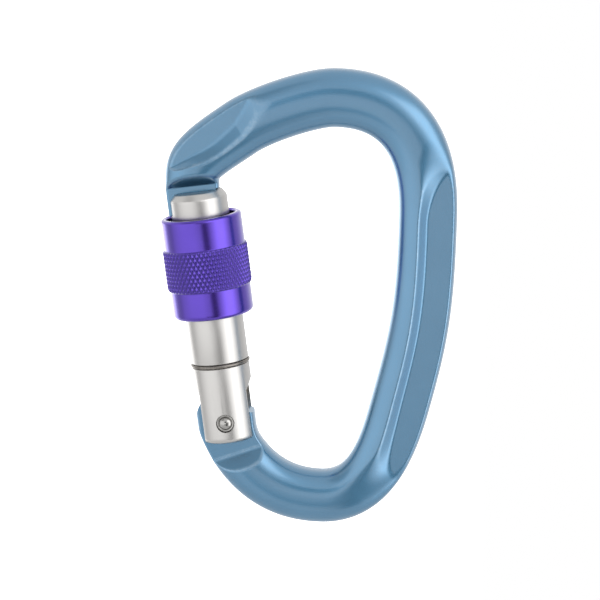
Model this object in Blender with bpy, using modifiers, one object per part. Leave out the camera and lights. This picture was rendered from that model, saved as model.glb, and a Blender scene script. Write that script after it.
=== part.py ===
"""Screw-locking carabiner with a pear-shaped frame, modelled shut with its sleeve run down off the nose.

World frame: Z is the load axis, X runs from the gate to the spine and Y runs through the thickness. The
origin is the rope's seat at the top of the eye. The gate's own frame has its origin on the hinge axis, with
Z up the gate and X towards the eye.
"""

import math
from collections import namedtuple

import bmesh
import bpy
from mathutils import Matrix, Vector

MM = 0.001
MERGE = 0.001 * MM  # points nearer than this are one point
ACROSS = Matrix.Rotation(math.radians(90), 4, "X")  # lays a shape made along Z along Y, the hinge's way

# Eye of the frame
EYE_LENGTH = 77.3 * MM  # top rope seat to bottom rope seat
EYE_REACH = 45.1 * MM  # across the eye, from just outside the hinge axis to the spine's centreline

# Sections of the frame's bar, across its width and through its thickness
BAR_THICKNESS = 10.4 * MM
BAR_SQUARENESS = 2.6  # exponent of the section's superellipse
BOW_WIDTH = 12.95 * MM
SPINE_FOOT_WIDTH = 13.35 * MM
BASE_WIDTH = 11.85 * MM
HEEL_WIDTH = 12.1 * MM

# Recessed panels on both faces of the frame
SPINE_PANEL_WEB = 6.2 * MM  # thickness left between the two floors
SPINE_PANEL_DEPTH = 6.6 * MM  # outer edge to the foot of the panel's wall
SPINE_PANEL_RIM = 8.45 * MM  # outer edge to the top of that wall
ARM_PANEL_WEB = 7.4 * MM
ARM_PANEL_DEPTH = 5.75 * MM
ARM_PANEL_RIM = 8.7 * MM

# Nose of the frame, which the gate's tip closes round
NOSE_THICKNESS = 4.4 * MM
NOSE_STANDOFF = 0.5 * MM  # how far the nose stands out of the gate's round
NECK_NOTCH = 0.7 * MM  # step over the toe that hooks under the gate's lip
NECK_SHOWN = 0.75 * MM  # thin neck left bare above the gate
NECK_SLOPE = math.radians(53.0)  # ramp from the thin neck up to the full bar

# Tang of the frame, which the gate's fork straddles
TANG_RADIUS = 6.2 * MM
TANG_ROUND = 84.0  # half the arc of its rounded end, in degrees
TANG_THICKNESS = 5.7 * MM
TANG_SHOULDER = 8.05 * MM  # hinge axis to the foot of the ramp up to the full bar
TANG_SHOULDER_TURN = math.radians(12.5)  # ramp's direction, from the gate's axis
RAMP_SLOPE = math.radians(36.0)
PLUNGER_SEAT = 2.45 * MM  # hinge axis up to the step that the plunger presses on
SEAT_SLOPE = math.radians(20.0)  # the step falls towards the eye

# Gate
GATE_RADIUS = 6.4 * MM
GATE_ABOVE_NOSE = 1.35 * MM  # gate's end above the middle of the nose
GATE_FOOT = 4.4 * MM  # hinge axis to the gate's lower end
GATE_TOP_ROUND = 1.6 * MM
GATE_FOOT_CHAMFER = 1.0 * MM
LIP_HEIGHT = 1.7 * MM
POCKET_WALL = 1.1 * MM
FORK_FLAT_CUT = 1.15 * MM  # depth of the flats on the fork's sides
FORK_FLAT_TOP = 6.3 * MM  # hinge axis to where the flats start to run out
INNER_RUNOUT = 2.4 * MM
OUTER_RUNOUT = 4.2 * MM

# Sleeve and the screw that carries it
SLEEVE_DROP = 5.3 * MM  # gate's top down to the sleeve's rim
SLEEVE_WALL = 1.25 * MM
SLEEVE_TOP_BAND = 6.9 * MM
KNURL_BAND = 9.2 * MM
SLEEVE_FOOT_BAND = 6.4 * MM
SLEEVE_MOUTH_DEPTH = 7.6 * MM
RIM_ROUND = 0.7 * MM
FOOT_ROUND = 1.0 * MM
BORE_CHAMFER = 0.2 * MM
KNURL_RISE = 0.45 * MM
SCREW_RISE = 0.3 * MM  # plain band at the thread's middle, above the gate's round
SCREW_LENGTH = 9.0 * MM
SCREW_START = 1.1 * MM  # sleeve's foot up to the screw's lower end

# Stop ring
RING_WIRE = 0.75 * MM
RING_PROUD = 0.25 * MM  # how far it stands out of the gate
RING_HEIGHT = 12.9 * MM  # above the hinge axis
RING_OPENING = math.radians(24.0)

# Hinge rivet
RIVET_RADIUS = 1.6 * MM
RIVET_HEAD_RADIUS = 1.95 * MM
RIVET_HEAD_SINK = 1.2 * MM  # gate's round down to the underside of each head
RIVET_HEAD_RIM = 0.75 * MM
RIVET_HEAD_CHAMFER = 0.15 * MM
RIVET_DOME_RADIUS = 1.25 * MM
RIVET_DOME_RISE = 0.55 * MM

# Spring and plunger inside the gate
PLUNGER_OFFSET = 2.2 * MM  # plunger's axis from the gate's axis, towards the eye
PLUNGER_RADIUS = 1.75 * MM
PLUNGER_LENGTH = 8.4 * MM
PLUNGER_CHAMFER = 0.2 * MM
STEM_LENGTH = 6.0 * MM
SPRING_WIRE = 0.55 * MM
SPRING_TURNS = 9
SPRING_LENGTH = 17.5 * MM
CLOSED_PITCH = 1.1  # of the turn at each end, in wire thicknesses

# Clearances
SEAT_GAP = 0.3 * MM  # between pieces that touch on the real object
NOSE_GAP = 0.25 * MM  # nose to gate, on each face
FORK_GAP = 0.2 * MM  # tang to fork, on each face
ROOF_GAP = 0.6 * MM  # tang to the top of the fork's slot
SWING_GAP = 0.3 * MM  # sleeve's rim to the nose as the gate swings
MOUTH_GAP = 0.5 * MM  # nose to the sleeve's mouth, radial
RIVET_GAP = 0.08 * MM  # radial
RING_GAP = 0.1 * MM
BORE_GAP = 0.25 * MM
CUT_OVER = 6.0 * MM  # how far cutters run past what they cut

# Fineness of round shapes
BAR_SIDES = 28
TURN_STEPS = 48
SMALL_STEPS = 24
ARC_STEPS = 5
PANEL_STEPS = 32
COIL_STEPS = 12
RING_STEPS = 40
PATH_STEPS = (2, 12, 8, 15, 11, 13, 9, 5, 2)  # sections along each stretch of the bar

# The gate runs from the hinge to the nose, and its frame follows from those two points.
HINGE = Vector((-0.5244 * EYE_REACH, 0.0, -0.8495 * EYE_LENGTH))
NOSE = Vector((-0.663 * EYE_REACH, 0.0, -0.2135 * EYE_LENGTH))
GATE_UP = (NOSE - HINGE).normalized()
GATE_IN = Vector((GATE_UP.z, 0.0, -GATE_UP.x))
GATE_TILT = math.atan2(GATE_UP.x, GATE_UP.z)
GATE_HEADING = 90.0 - math.degrees(GATE_TILT)
GATE_TOP = (NOSE - HINGE).length + GATE_ABOVE_NOSE

# The nose fills the gate's round as far as the pocket's wall, and stands out on the other side.
NOSE_OUTER = GATE_RADIUS + NOSE_STANDOFF
TOE_REACH = GATE_RADIUS - POCKET_WALL - SEAT_GAP
NECK_REACH = TOE_REACH - NECK_NOTCH
NECK_WIDTH = NOSE_OUTER + TOE_REACH
NECK_SHIFT = (TOE_REACH - NOSE_OUTER) / 2

# The sleeve's mouth goes over the nose, its bore runs on the screw, and its rim swings clear of the nose.
SCREW_RADIUS = GATE_RADIUS + SCREW_RISE
SLEEVE_BORE = SCREW_RADIUS + SEAT_GAP
SLEEVE_MOUTH = math.hypot(NOSE_OUTER, NOSE_THICKNESS / 2) + MOUTH_GAP
SLEEVE_RADIUS = SLEEVE_MOUTH + SLEEVE_WALL
SLEEVE_RIM = GATE_TOP - SLEEVE_DROP
SLEEVE_FOOT = SLEEVE_RIM - SLEEVE_TOP_BAND - KNURL_BAND - SLEEVE_FOOT_BAND
SCREW_FOOT = SLEEVE_FOOT + SCREW_START
RIM_SWING = math.hypot(SLEEVE_RADIUS - RIM_ROUND, SLEEVE_RIM - RIM_ROUND) + RIM_ROUND
NOSE_END = RIM_SWING + SWING_GAP

# The fork's slot clears the tang, and the spring's bore follows the plunger.
FORK_ROOF = TANG_RADIUS + ROOF_GAP
RIVET_HEAD_SEAT = GATE_RADIUS - RIVET_HEAD_SINK
PLUNGER_TIP = PLUNGER_SEAT + (PLUNGER_RADIUS + SEAT_GAP) / math.cos(SEAT_SLOPE) - PLUNGER_RADIUS
SEAT_WALL = PLUNGER_OFFSET - PLUNGER_RADIUS - SEAT_GAP
PLUNGER_SHOULDER = PLUNGER_TIP + PLUNGER_LENGTH
BORE_RADIUS = PLUNGER_RADIUS + BORE_GAP
BORE_END = PLUNGER_SHOULDER + SPRING_LENGTH + 2 * SEAT_GAP
COIL_RADIUS = PLUNGER_RADIUS - SPRING_WIRE / 2
STEM_RADIUS = COIL_RADIUS - SPRING_WIRE / 2 - SEAT_GAP
RING_RADIUS = GATE_RADIUS + RING_PROUD - RING_WIRE / 2

# An anchor's reaches are its handles' lengths, as shares of the straight line to the neighbouring anchor.
Anchor = namedtuple("Anchor", "point heading reach_in reach_out width")
# A panel runs from its start to its end, which count stretches of the bar from the nose's end. Its wall
# reaches full depth over the lead, as an arch, and comes back over the trail: each has its own roundness.
Panel = namedtuple("Panel", "start lead arch end trail corner depth")

ARM_FLOOR = Panel(1.27, 0.5, 1.75, 2.27, 0.5, 1.75, ARM_PANEL_DEPTH)
ARM_RIM = Panel(1.23, 0.62, 1.8, 2.47, 0.62, 1.8, ARM_PANEL_RIM)
SPINE_FLOOR = Panel(3.797, 0.235, 1.75, 5.487, 0.86, 3.5, SPINE_PANEL_DEPTH)
SPINE_RIM = Panel(3.68, 0.38, 2.0, 5.54, 0.93, 3.5, SPINE_PANEL_RIM)


def clear_scene():
    for obj in list(bpy.data.objects):
        bpy.data.objects.remove(obj, do_unlink=True)


def new_collection(name):
    collection = bpy.data.collections.new(name)
    bpy.context.scene.collection.children.link(collection)
    return collection


def metal(name, colour, roughness):
    """A bare or anodised metal, with its colour as linear red, green and blue."""
    material = bpy.data.materials.new(name)
    material.use_nodes = True
    shader = material.node_tree.nodes["Principled BSDF"]
    shader.inputs["Base Color"].default_value = (*colour, 1.0)
    shader.inputs["Metallic"].default_value = 1.0
    shader.inputs["Roughness"].default_value = roughness
    return material


def add_object(name, data, collection, parent=None, material=None):
    obj = bpy.data.objects.new(name, data)
    collection.objects.link(obj)
    obj.parent = parent
    if material:
        data.materials.append(material)
    return obj


def add_cutter(mesh, collection, parent=None):
    obj = add_object(mesh.name, mesh, collection, parent)
    obj.hide_render = True
    obj.display_type = "WIRE"
    return obj


def both_faces(obj):
    """Repeat a cutter on the other face of the carabiner."""
    mirror = obj.modifiers.new("both faces", "MIRROR")
    mirror.use_axis = (False, True, False)
    mirror.use_mirror_merge = False
    return obj


def cut(obj, cutters):
    for cutter in cutters:
        boolean = obj.modifiers.new(cutter.name, "BOOLEAN")
        boolean.operation = "DIFFERENCE"
        boolean.solver = "EXACT"
        boolean.object = cutter


def closed_mesh(name, bm):
    bmesh.ops.recalc_face_normals(bm, faces=bm.faces[:])
    mesh = bpy.data.meshes.new(name)
    bm.to_mesh(mesh)
    bm.free()
    return mesh


def loft(name, rings):
    """A closed mesh through rings of equally many points, with a face across each end."""
    bm = bmesh.new()
    loops = [[bm.verts.new(point) for point in ring] for ring in rings]
    for low, high in zip(loops, loops[1:]):
        for i, corner in enumerate(low):
            after = (i + 1) % len(low)
            bm.faces.new((corner, low[after], high[after], high[i]))
    bm.faces.new(loops[0])
    bm.faces.new(loops[-1])
    return closed_mesh(name, bm)


def extruded(name, outline, span, plane):
    """A mesh of an outline in plane XZ or YZ, run along the third axis over span."""
    curve = bpy.data.curves.new(name, "CURVE")
    curve.dimensions = "2D"
    curve.fill_mode = "BOTH"
    curve.extrude = (span[1] - span[0]) / 2
    spline = curve.splines.new("POLY")
    spline.points.add(len(outline) - 1)
    for target, (across, up) in zip(spline.points, outline):
        target.co = (across, up, 0.0, 1.0)
    spline.use_cyclic_u = True
    guide = add_object(name, curve, bpy.context.scene.collection)
    bpy.context.view_layer.update()
    graph = bpy.context.evaluated_depsgraph_get()
    flat = bpy.data.meshes.new_from_object(guide.evaluated_get(graph))
    bpy.data.objects.remove(guide, do_unlink=True)
    across = Vector((1, 0, 0)) if plane == "XZ" else Vector((0, 1, 0))
    up = Vector((0, 0, 1))
    along = across.cross(up)
    middle = (span[0] + span[1]) / 2
    shift = Vector((0, middle, 0)) if plane == "XZ" else Vector((middle, 0, 0))
    turn = Matrix((across, up, along)).transposed().to_4x4()
    bm = bmesh.new()
    bm.from_mesh(flat)
    bmesh.ops.remove_doubles(bm, verts=bm.verts[:], dist=MERGE)
    bmesh.ops.transform(bm, matrix=Matrix.Translation(shift) @ turn, verts=bm.verts[:])
    return closed_mesh(name, bm)


def cylinder(name, radius, length, turn=None, shift=(0.0, 0.0, 0.0)):
    """A cylinder along Z, then turned and shifted."""
    bm = bmesh.new()
    bmesh.ops.create_cone(
        bm, cap_ends=True, segments=SMALL_STEPS, radius1=radius, radius2=radius, depth=length
    )
    matrix = Matrix.Translation(shift) @ (turn or Matrix())
    bmesh.ops.transform(bm, matrix=matrix, verts=bm.verts[:])
    return closed_mesh(name, bm)


def add_turned(name, profile, steps, collection, parent, material, closed=False):
    """A shape turned about Z from (radius, height) points that run down its outer side."""
    mesh = bpy.data.meshes.new(name)
    corners = [(radius, 0.0, height) for radius, height in profile]
    edges = [(i, i + 1) for i in range(len(corners) - 1)]
    if closed:
        edges.append((len(corners) - 1, 0))
    mesh.from_pydata(corners, edges, [])
    obj = add_object(name, mesh, collection, parent, material)
    screw = obj.modifiers.new("turn", "SCREW")
    screw.axis = "Z"
    screw.steps = steps
    screw.render_steps = steps
    screw.use_merge_vertices = True
    screw.merge_threshold = MERGE
    screw.use_smooth_shade = True
    return obj


def add_wire(name, points, thickness, collection, parent, material):
    """A round wire along points, with flat ends."""
    curve = bpy.data.curves.new(name, "CURVE")
    curve.dimensions = "3D"
    curve.bevel_depth = thickness / 2
    curve.bevel_resolution = 2
    curve.use_fill_caps = True
    spline = curve.splines.new("POLY")
    spline.points.add(len(points) - 1)
    for target, point in zip(spline.points, points):
        target.co = (*point, 1.0)
    return add_object(name, curve, collection, parent, material)


def arc(centre, radii, start, end, steps=ARC_STEPS):
    """Points of an ellipse's arc in a plane, ends included, from and to angles in degrees."""
    points = []
    for i in range(steps + 1):
        angle = math.radians(start + (end - start) * i / steps)
        points.append((centre[0] + radii[0] * math.cos(angle), centre[1] + radii[1] * math.sin(angle)))
    return points


def box_outline(low, high):
    return [low, (high[0], low[1]), high, (low[0], high[1])]


def bar_anchors():
    """Points on the bar's centreline, from the nose's end over the top and round to the tang."""
    neck = NOSE + GATE_IN * NECK_SHIFT
    nose_end = neck - GATE_UP * (GATE_TOP - NOSE_END + CUT_OVER / 2 - GATE_ABOVE_NOSE)
    tang_end = HINGE + GATE_UP * (TANG_RADIUS + CUT_OVER / 4)
    tang_width = 2 * TANG_RADIUS

    def at(across, down):
        return Vector((across * EYE_REACH, 0.0, -down * EYE_LENGTH))

    top = Vector((0.0, 0.0, BOW_WIDTH / 2))
    base = at(-0.055, 1.0) - Vector((0.0, 0.0, BASE_WIDTH / 2))
    return [
        Anchor(nose_end, GATE_HEADING, 0.0, 0.33, NECK_WIDTH),
        Anchor(neck, GATE_HEADING, 0.33, 0.457, NECK_WIDTH),
        Anchor(at(-0.4548, 0.0047), 34.3, 0.67, 0.25, BOW_WIDTH),
        Anchor(top, 0.0, 0.223, 0.432, BOW_WIDTH),
        Anchor(at(0.4596, 0.2445), -91.1, 0.4935, 0.472, BOW_WIDTH),
        Anchor(at(0.3312, 0.7972), -105.0, 0.373, 0.339, SPINE_FOOT_WIDTH),
        Anchor(base, 180.0, 0.407, 0.442, BASE_WIDTH),
        Anchor(at(-0.46, 0.9572), 126.6, 0.302, 0.465, HEEL_WIDTH),
        Anchor(HINGE, GATE_HEADING, 0.215, 0.33, tang_width),
        Anchor(tang_end, GATE_HEADING, 0.33, 0.0, tang_width),
    ]


def heading_vector(degrees):
    angle = math.radians(degrees)
    return Vector((math.cos(angle), 0.0, math.sin(angle)))


def bar_at(anchors, station):
    """Centreline point, outward direction and half width at a station, which counts stretches."""
    index = min(max(int(station), 0), len(anchors) - 2)
    share = station - index
    rest = 1.0 - share
    first, last = anchors[index], anchors[index + 1]
    chord = (last.point - first.point).length
    leave = first.point + heading_vector(first.heading) * chord * first.reach_out
    arrive = last.point - heading_vector(last.heading) * chord * last.reach_in
    point = (
        first.point * rest**3
        + leave * 3 * rest**2 * share
        + arrive * 3 * rest * share**2
        + last.point * share**3
    )
    along = (
        (leave - first.point) * rest**2
        + (arrive - leave) * 2 * rest * share
        + (last.point - arrive) * share**2
    ).normalized()
    outward = Vector((-along.z, 0.0, along.x))
    ease = share * share * (3 - 2 * share)
    half_width = (first.width * (1 - ease) + last.width * ease) / 2
    return point, outward, half_width


def signed_power(value, exponent):
    return math.copysign(abs(value) ** exponent, value)


def bar_section(anchors, station):
    """The bar's superellipse section at a station."""
    point, outward, half_width = bar_at(anchors, station)
    ring = []
    for i in range(BAR_SIDES):
        angle = math.tau * i / BAR_SIDES
        across = half_width * signed_power(math.cos(angle), 2 / BAR_SQUARENESS)
        through = BAR_THICKNESS / 2 * signed_power(math.sin(angle), 2 / BAR_SQUARENESS)
        ring.append(point + outward * across + Vector((0.0, through, 0.0)))
    return ring


def from_outer_edge(anchors, station, depth, through):
    point, outward, half_width = bar_at(anchors, station)
    edge = point + outward * (half_width - depth)
    return (edge.x, through, edge.z)


def wall_depth(panel, station):
    """How far in from the outer edge a panel's wall stands at a station."""
    lead = max((panel.start + panel.lead - station) / panel.lead, 0.0)
    trail = max((station - panel.end + panel.trail) / panel.trail, 0.0)
    arch = max(1 - lead**panel.arch, 0.0) ** (1 / panel.arch)
    corner = max(1 - trail**panel.corner, 0.0) ** (1 / panel.corner)
    return panel.depth * min(arch, corner)


def panel_ring(anchors, panel, through):
    """A panel's outline at one depth: its curved wall, then back along the outside of the bar."""
    stations = []
    for i in range(PANEL_STEPS + 1):
        share = (1 - math.cos(math.pi * i / PANEL_STEPS)) / 2
        stations.append(panel.start + (panel.end - panel.start) * share)
    ring = [from_outer_edge(anchors, spot, wall_depth(panel, spot), through) for spot in stations]
    ring += [from_outer_edge(anchors, spot, -CUT_OVER, through) for spot in reversed(stations)]
    return ring


def panel_cutter(name, anchors, floor, rim, web, collection):
    """The hollow between a panel's floor and its rim at the bar's full thickness, run on past it."""
    floor_through = web / 2
    rise = BAR_THICKNESS / 2 - floor_through
    rings = []
    for lift in (0.0, 1.0, 2.0):
        panel = Panel(*(low + (high - low) * lift for low, high in zip(floor, rim)))
        rings.append(panel_ring(anchors, panel, -floor_through - rise * lift))
    return both_faces(add_cutter(loft(name, rings), collection))


def neck_cutter(collection, pivot):
    """Thins the nose and its neck, with a ramp up to the full bar."""
    foot = GATE_TOP + NECK_SHOWN
    face = NOSE_THICKNESS / 2
    climb = BAR_THICKNESS / 2 - face + CUT_OVER / 4
    ramp_end = foot + climb / math.tan(NECK_SLOPE)
    outside = -face - climb - CUT_OVER
    below = NOSE_END - CUT_OVER
    profile = [(-face, below), (-face, foot), (-face - climb, ramp_end)]
    profile += [(outside, ramp_end), (outside, below)]
    span = (-NOSE_OUTER - CUT_OVER, TOE_REACH + CUT_OVER / 2)
    return both_faces(add_cutter(extruded("neck_faces", profile, span, "YZ"), collection, pivot))


def tang_cutter(collection, pivot):
    """Thins the tang, with a ramp up to the full bar."""
    face = TANG_THICKNESS / 2
    climb = BAR_THICKNESS / 2 - face + CUT_OVER / 4
    ramp_end = -TANG_SHOULDER - climb / math.tan(RAMP_SLOPE)
    above = TANG_RADIUS + CUT_OVER
    outside = -face - climb - CUT_OVER
    profile = [(-face, above), (-face, -TANG_SHOULDER), (-face - climb, ramp_end)]
    profile += [(outside, ramp_end), (outside, above)]
    cutter = add_cutter(extruded("tang_faces", profile, (-above, above), "YZ"), collection, pivot)
    cutter.rotation_euler.y = -TANG_SHOULDER_TURN
    return both_faces(cutter)


def nose_cutters(collection, pivot):
    """Ends the nose on an arc about the hinge, and steps the neck back over the toe."""
    side = GATE_RADIUS + CUT_OVER
    spread = math.degrees(math.asin(side / NOSE_END))
    low = NOSE_END - CUT_OVER
    end = arc((0.0, 0.0), (NOSE_END, NOSE_END), 90 + spread, 90 - spread)
    end += [(side, low), (-side, low)]
    lip_under = GATE_TOP - LIP_HEIGHT
    notch = box_outline((NECK_REACH, lip_under - SEAT_GAP), (side, GATE_TOP + SEAT_GAP))
    span = (-BAR_THICKNESS, BAR_THICKNESS)
    return [
        add_cutter(extruded("nose_end", end, span, "XZ"), collection, pivot),
        add_cutter(extruded("neck_notch", notch, span, "XZ"), collection, pivot),
    ]


def tang_cutters(collection, pivot):
    """Rounds the tang about the hinge, steps it for the plunger and drills it for the rivet."""
    side = TANG_RADIUS + CUT_OVER
    low, high = 90 - TANG_ROUND, 90 + TANG_ROUND
    round_end = arc((0.0, 0.0), (TANG_RADIUS, TANG_RADIUS), low, high, PANEL_STEPS)
    level = round_end[0][1]
    round_end += [(-side, level), (-side, side), (side, side), (side, level)]
    wall_foot = PLUNGER_SEAT + (PLUNGER_OFFSET - SEAT_WALL) * math.tan(SEAT_SLOPE)
    step_end = wall_foot - (side - SEAT_WALL) * math.tan(SEAT_SLOPE)
    step = [(SEAT_WALL, wall_foot), (side, step_end), (side, side), (SEAT_WALL, side)]
    span = (-BAR_THICKNESS, BAR_THICKNESS)
    hole = cylinder("tang_hole", RIVET_RADIUS + RIVET_GAP, 2 * BAR_THICKNESS, turn=ACROSS)
    return [
        add_cutter(extruded("tang_round", round_end, span, "XZ"), collection, pivot),
        add_cutter(extruded("plunger_step", step, span, "XZ"), collection, pivot),
        add_cutter(hole, collection, pivot),
    ]


def build_frame(parts, cutters, pivot):
    """The forged bar, lofted along its centreline and then machined."""
    anchors = bar_anchors()
    stations = [0.0]
    for index, steps in enumerate(PATH_STEPS):
        stations += [index + (i + 1) / steps for i in range(steps)]
    mesh = loft("frame", [bar_section(anchors, station) for station in stations])
    mesh.shade_smooth()
    frame = add_object("frame", mesh, parts, None, metal("frame_anodised", (0.10, 0.27, 0.42), 0.35))
    panels = [
        panel_cutter("arm_panel", anchors, ARM_FLOOR, ARM_RIM, ARM_PANEL_WEB, cutters),
        panel_cutter("spine_panel", anchors, SPINE_FLOOR, SPINE_RIM, SPINE_PANEL_WEB, cutters),
    ]
    cut(frame, panels + [neck_cutter(cutters, pivot), tang_cutter(cutters, pivot)])
    cut(frame, nose_cutters(cutters, pivot) + tang_cutters(cutters, pivot))


def gate_profile():
    round_centre = (GATE_RADIUS - GATE_TOP_ROUND, GATE_TOP - GATE_TOP_ROUND)
    groove = RING_WIRE / 2 + RING_GAP
    groove_floor = RING_RADIUS - RING_WIRE / 2 - RING_GAP
    screw_top = SCREW_FOOT + SCREW_LENGTH
    profile = [(0.0, GATE_TOP)]
    profile += arc(round_centre, (GATE_TOP_ROUND, GATE_TOP_ROUND), 90, 0)
    profile += [
        (GATE_RADIUS, screw_top),
        (SCREW_RADIUS, screw_top - SCREW_RISE),
        (SCREW_RADIUS, SCREW_FOOT + SCREW_RISE),
        (GATE_RADIUS, SCREW_FOOT),
        (GATE_RADIUS, RING_HEIGHT + groove),
        (groove_floor, RING_HEIGHT + groove),
        (groove_floor, RING_HEIGHT - groove),
        (GATE_RADIUS, RING_HEIGHT - groove),
        (GATE_RADIUS, GATE_FOOT_CHAMFER - GATE_FOOT),
        (GATE_RADIUS - GATE_FOOT_CHAMFER, -GATE_FOOT),
        (0.0, -GATE_FOOT),
    ]
    return profile


def tip_outline():
    """The slot that the nose enters from outside, with a pocket for its toe under the lip."""
    pocket_floor = math.sqrt(NOSE_END**2 - NOSE_OUTER**2) - NOSE_GAP
    lip_under = GATE_TOP - LIP_HEIGHT
    outside = -GATE_RADIUS - CUT_OVER
    above = GATE_TOP + CUT_OVER
    return [
        (outside, pocket_floor),
        (TOE_REACH + SEAT_GAP, pocket_floor),
        (TOE_REACH + SEAT_GAP, lip_under),
        (NECK_REACH + SEAT_GAP, lip_under),
        (NECK_REACH + SEAT_GAP, above),
        (outside, above),
    ]


def flat_outline(side, runout):
    """The flat on one side of the fork, which slopes out to the gate's round."""
    face = GATE_RADIUS - FORK_FLAT_CUT
    below = -GATE_FOOT - CUT_OVER
    far = GATE_RADIUS + CUT_OVER
    reach = FORK_FLAT_TOP + runout * (far - face) / FORK_FLAT_CUT
    points = [(face, below), (far, below), (far, reach), (face, FORK_FLAT_TOP)]
    return [(side * across, up) for across, up in points]


def gate_cutters(collection, pivot):
    """The slots for the nose and the tang, the fork's flats, and the holes for the spring and the rivet."""
    tip = (-NOSE_THICKNESS / 2 - NOSE_GAP, NOSE_THICKNESS / 2 + NOSE_GAP)
    fork = (-TANG_THICKNESS / 2 - FORK_GAP, TANG_THICKNESS / 2 + FORK_GAP)
    wide = GATE_RADIUS + CUT_OVER
    slot = box_outline((-wide, -wide), (wide, FORK_ROOF))
    bore_foot = FORK_ROOF - CUT_OVER / 2
    bore_middle = (PLUNGER_OFFSET, 0.0, (bore_foot + BORE_END) / 2)
    sink_middle = (0.0, RIVET_GAP - RIVET_HEAD_SEAT - CUT_OVER / 2, 0.0)
    sink = cylinder("head_recess", RIVET_HEAD_RADIUS + RING_GAP, CUT_OVER, ACROSS, sink_middle)
    meshes = [
        extruded("tip_slot", tip_outline(), tip, "XZ"),
        extruded("fork_slot", slot, fork, "XZ"),
        extruded("inner_flat", flat_outline(1, INNER_RUNOUT), (-wide, wide), "XZ"),
        extruded("outer_flat", flat_outline(-1, OUTER_RUNOUT), (-wide, wide), "XZ"),
        cylinder("spring_bore", BORE_RADIUS, BORE_END - bore_foot, None, bore_middle),
        cylinder("fork_hole", RIVET_RADIUS + RIVET_GAP, 2 * wide, ACROSS),
    ]
    through = [add_cutter(mesh, collection, pivot) for mesh in meshes]
    return through + [both_faces(add_cutter(sink, collection, pivot))]


def build_gate(parts, cutters, pivot):
    silver = metal("gate_bare", (0.62, 0.60, 0.57), 0.32)
    gate = add_turned("gate", gate_profile(), TURN_STEPS, parts, pivot, silver)
    cut(gate, gate_cutters(cutters, pivot))


def build_sleeve(parts, pivot):
    """A tube with a knurled middle, a bore on the screw and a wide mouth for the nose."""
    knurl_top = SLEEVE_RIM - SLEEVE_TOP_BAND
    knurl_foot = knurl_top - KNURL_BAND
    knurl = SLEEVE_RADIUS + KNURL_RISE
    mouth_floor = SLEEVE_RIM - SLEEVE_MOUTH_DEPTH
    step = SLEEVE_MOUTH - SLEEVE_BORE
    profile = [(SLEEVE_MOUTH + BORE_CHAMFER, SLEEVE_RIM)]
    profile += arc((SLEEVE_RADIUS - RIM_ROUND, SLEEVE_RIM - RIM_ROUND), (RIM_ROUND, RIM_ROUND), 90, 0)
    profile += [
        (SLEEVE_RADIUS, knurl_top),
        (knurl, knurl_top - KNURL_RISE),
        (knurl, knurl_foot + KNURL_RISE),
        (SLEEVE_RADIUS, knurl_foot),
    ]
    profile += arc((SLEEVE_RADIUS - FOOT_ROUND, SLEEVE_FOOT + FOOT_ROUND), (FOOT_ROUND, FOOT_ROUND), 0, -90)
    profile += [
        (SLEEVE_BORE + BORE_CHAMFER, SLEEVE_FOOT),
        (SLEEVE_BORE, SLEEVE_FOOT + BORE_CHAMFER),
        (SLEEVE_BORE, mouth_floor - step),
        (SLEEVE_MOUTH, mouth_floor),
        (SLEEVE_MOUTH, SLEEVE_RIM - BORE_CHAMFER),
    ]
    purple = metal("sleeve_anodised", (0.16, 0.06, 0.52), 0.22)
    add_turned("locking_sleeve", profile, TURN_STEPS, parts, pivot, purple, closed=True)


def build_rivet(parts, pivot):
    """A shank with a flat-rimmed, domed head at each end."""
    rim = RIVET_HEAD_SEAT + RIVET_HEAD_RIM
    dome = arc((0.0, rim), (RIVET_DOME_RADIUS, RIVET_DOME_RISE), 90, 0)
    half = dome + [
        (RIVET_HEAD_RADIUS - RIVET_HEAD_CHAMFER, rim),
        (RIVET_HEAD_RADIUS, rim - RIVET_HEAD_CHAMFER),
        (RIVET_HEAD_RADIUS, RIVET_HEAD_SEAT),
        (RIVET_RADIUS, RIVET_HEAD_SEAT),
    ]
    profile = half + [(radius, -height) for radius, height in reversed(half)]
    steel = metal("rivet_steel", (0.55, 0.54, 0.52), 0.15)
    rivet = add_turned("hinge_rivet", profile, SMALL_STEPS, parts, pivot, steel)
    rivet.rotation_euler.x = math.radians(90)


def build_stop_ring(parts, pivot):
    """An open wire ring, with its gap at the back."""
    points = []
    for i in range(RING_STEPS + 1):
        angle = math.radians(90) + RING_OPENING / 2 + (math.tau - RING_OPENING) * i / RING_STEPS
        points.append((RING_RADIUS * math.cos(angle), RING_RADIUS * math.sin(angle), 0.0))
    steel = metal("ring_steel", (0.30, 0.27, 0.25), 0.30)
    ring = add_wire("stop_ring", points, RING_WIRE, parts, pivot, steel)
    ring.location.z = RING_HEIGHT


def build_plunger(parts, pivot):
    """A round-nosed pin with a stem that keeps the coil straight."""
    stem_end = PLUNGER_SHOULDER + STEM_LENGTH
    tip_centre = (0.0, PLUNGER_TIP + PLUNGER_RADIUS)
    profile = [
        (0.0, stem_end),
        (STEM_RADIUS - PLUNGER_CHAMFER, stem_end),
        (STEM_RADIUS, stem_end - PLUNGER_CHAMFER),
        (STEM_RADIUS, PLUNGER_SHOULDER),
        (PLUNGER_RADIUS - PLUNGER_CHAMFER, PLUNGER_SHOULDER),
        (PLUNGER_RADIUS, PLUNGER_SHOULDER - PLUNGER_CHAMFER),
    ]
    tip = arc(tip_centre, (PLUNGER_RADIUS, PLUNGER_RADIUS), 0, -90)
    brass = metal("plunger_brass", (0.60, 0.42, 0.16), 0.30)
    plunger = add_turned("spring_plunger", profile + tip, SMALL_STEPS, parts, pivot, brass)
    plunger.location.x = PLUNGER_OFFSET


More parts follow.
